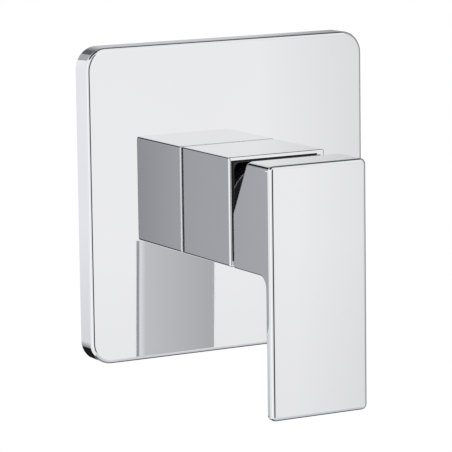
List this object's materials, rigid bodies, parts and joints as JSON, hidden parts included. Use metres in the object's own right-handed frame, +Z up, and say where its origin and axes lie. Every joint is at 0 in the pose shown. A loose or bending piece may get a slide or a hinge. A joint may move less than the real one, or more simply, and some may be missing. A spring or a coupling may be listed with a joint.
{
  "type": "single-lever shower mixer",
  "caption": "Concealed wall shower mixer: rounded-square chrome plate, square sleeve and flat L-shaped lever that tilts for flow and turns for temperature, on an in-wall brass valve body.",
  "frame": {"origin": "centre of the valve body's back face, which is screwed down inside the wall", "axes": "+Z up, +Y into the wall, the lever and plate face -Y, +X to the right of a person facing the mixer"},
  "size_m": [0.14, 0.139, 0.156],
  "materials": {
    "polished_chrome": "mirror-polished chrome plate",
    "cast_brass": "sand-cast brass with machined faces",
    "plated_nut": "turned brass, nickel plated",
    "turned_brass": "fine turned brass",
    "grey_foam": "closed-cell foam",
    "black_rubber": "moulded rubber",
    "white_plastic": "moulded",
    "grey_plastic": "moulded",
    "black_plastic": "moulded",
    "ceramic_disc": "lapped alumina",
    "steel": "ground stainless steel",
    "plug_plastic": "glossy grey"
  },
  "bodies": {
    "wall_unit": {"valve_body": "cast_brass", "wall_plate": "polished_chrome", "plate_gasket": "grey_foam", "sleeve_seal": "black_rubber", "square_sleeve": "polished_chrome", "neck_oring_rear": "black_rubber", "neck_oring_front": "black_rubber", "cartridge_nut": "plated_nut", "cartridge_base": "white_plastic", "hot_base_seal": "black_rubber", "cold_base_seal": "black_rubber", "outlet_base_seal": "black_rubber", "hot_disc_seal": "black_rubber", "cold_disc_seal": "black_rubber", "outlet_disc_seal": "black_rubber", "cartridge_housing": "grey_plastic", "fixed_disc": "ceramic_disc"},
    "carrier": {"stem_carrier": "black_plastic", "stem_pivot_pin": "steel"},
    "lever": {"lever_handle": "polished_chrome", "lever_stem": "turned_brass", "handle_grub_screw": "steel", "grub_screw_plug": "plug_plastic"},
    "disc": {"disc_slider": "white_plastic", "moving_disc": "ceramic_disc"}
  },
  "joints": [
    {"name": "temperature_turn", "type": "hinge", "parent": "wall_unit", "child": "carrier", "pos_m": [0, -0.095, 0], "axis": [0, -1, 0], "range_deg": [-45, 45]},
    {"name": "flow_tilt", "type": "hinge", "parent": "carrier", "child": "lever", "pos_m": [0, -0.095, 0], "axis": [-1, 0, 0], "range_deg": [0, 24]},
    {"name": "disc_slide", "type": "slide", "parent": "carrier", "child": "disc", "axis": [0, 0, -1], "range_m": [0, 0.00692]}
  ],
  "couplings": [
    {"joint": "disc_slide", "follows": "flow_tilt", "m_per_rad": 0.016507}
  ]
}
